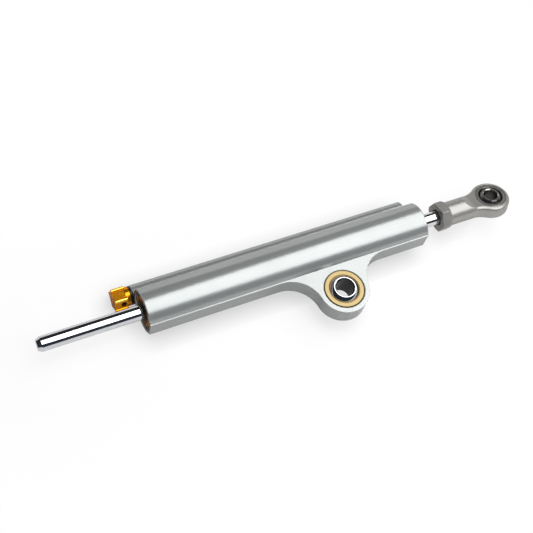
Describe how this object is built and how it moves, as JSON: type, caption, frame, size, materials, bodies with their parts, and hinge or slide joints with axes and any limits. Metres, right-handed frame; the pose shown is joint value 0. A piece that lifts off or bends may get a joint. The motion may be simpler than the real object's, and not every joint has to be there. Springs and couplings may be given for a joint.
{
  "type": "steering damper",
  "caption": "Motorcycle steering damper: through-rod hydraulic cylinder with a bearing ear, side bypass tube with a turn adjuster knob, and a spherical rod end.",
  "frame": {"origin": "centre of the ear's spherical bearing", "axes": "+X along the shaft towards the rod end, +Z along the ear bearing's bore, +Y from the ear towards the shaft"},
  "size_m": [0.2769, 0.06, 0.028],
  "materials": {
    "body_anodised": "satin clear anodised, finely blasted",
    "head_gold": "brown-gold anodised, turned",
    "knob_gold": "bright orange-gold anodised",
    "race_brass": "turned bearing bronze",
    "ball_steel": "ground and polished bearing steel",
    "rod_chrome": "hard chrome, polished",
    "rod_end_satin": "satin forged steel, blasted and plated",
    "rod_race_steel": "turned steel",
    "rubber_black": "nitrile rubber",
    "seal_brown": "polyurethane seal",
    "bush_bronze": "sintered bronze",
    "spring_steel": "drawn spring steel",
    "ptfe_white": "filled low-friction plastic",
    "piston_alloy": "turned",
    "cartridge_black": "black anodised",
    "screw_black": "black oxide",
    "plain_steel": "turned steel",
    "seat_brass": "turned brass"
  },
  "bodies": {
    "housing": {"housing": "body_anodised", "left_seal_head": "head_gold", "right_seal_head": "head_gold", "seal_head_o_rings": "rubber_black", "rod_bushes": "bush_bronze", "rod_seals": "seal_brown", "rod_wipers": "rubber_black", "seal_head_circlips": "spring_steel", "stop_sleeves": "ptfe_white", "ear_race": "race_brass", "adjuster_cartridge": "cartridge_black", "cartridge_o_ring": "rubber_black", "needle_seat": "seat_brass", "side_plug": "plain_steel", "side_plug_o_ring": "rubber_black"},
    "ear_ball": {"ear_ball": "ball_steel"},
    "piston": {"piston": "piston_alloy", "piston_ring": "ptfe_white", "piston_o_ring": "rubber_black"},
    "shaft": {"shaft": "rod_chrome", "piston_clips": "spring_steel", "rod_end_housing": "rod_end_satin", "rod_end_race": "rod_race_steel"},
    "rod_ball": {"rod_end_ball": "ball_steel"},
    "adjuster": {"adjuster_knob": "knob_gold", "knob_set_screw": "screw_black", "adjuster_spindle": "plain_steel", "spindle_o_ring": "rubber_black", "detent_ball": "plain_steel", "detent_spring": "spring_steel"},
    "needle": {"metering_needle": "plain_steel"}
  },
  "joints": [
    {"name": "shaft_slide", "type": "slide", "parent": "housing", "child": "piston", "axis": [1, 0, 0], "range_m": [-0.0115, 0.0538]},
    {"name": "shaft_roll", "type": "hinge", "parent": "piston", "child": "shaft", "pos_m": [0, 0.025, 0], "axis": [1, 0, 0], "continuous": true},
    {"name": "rod_ball_tilt", "type": "hinge", "parent": "shaft", "child": "rod_ball", "pos_m": [0.1072, 0.025, 0], "axis": [0, 0.9659, -0.2588], "range_deg": [-12, 12]},
    {"name": "ear_ball_tilt", "type": "hinge", "parent": "housing", "child": "ear_ball", "pos_m": [0, 0, 0], "axis": [1, 0, 0], "range_deg": [-10, 10]},
    {"name": "adjuster_turn", "type": "hinge", "parent": "housing", "child": "adjuster", "pos_m": [-0.1036, 0.0399, -0.0095], "axis": [1, 0, 0], "range_deg": [-360, 360]},
    {"name": "needle_travel", "type": "slide", "parent": "housing", "child": "needle", "axis": [1, 0, 0], "range_m": [-0.0008, 0.0008]}
  ],
  "couplings": [
    {"joint": "adjuster_turn", "follows": "needle_travel", "rad_per_m": 7850}
  ]
}
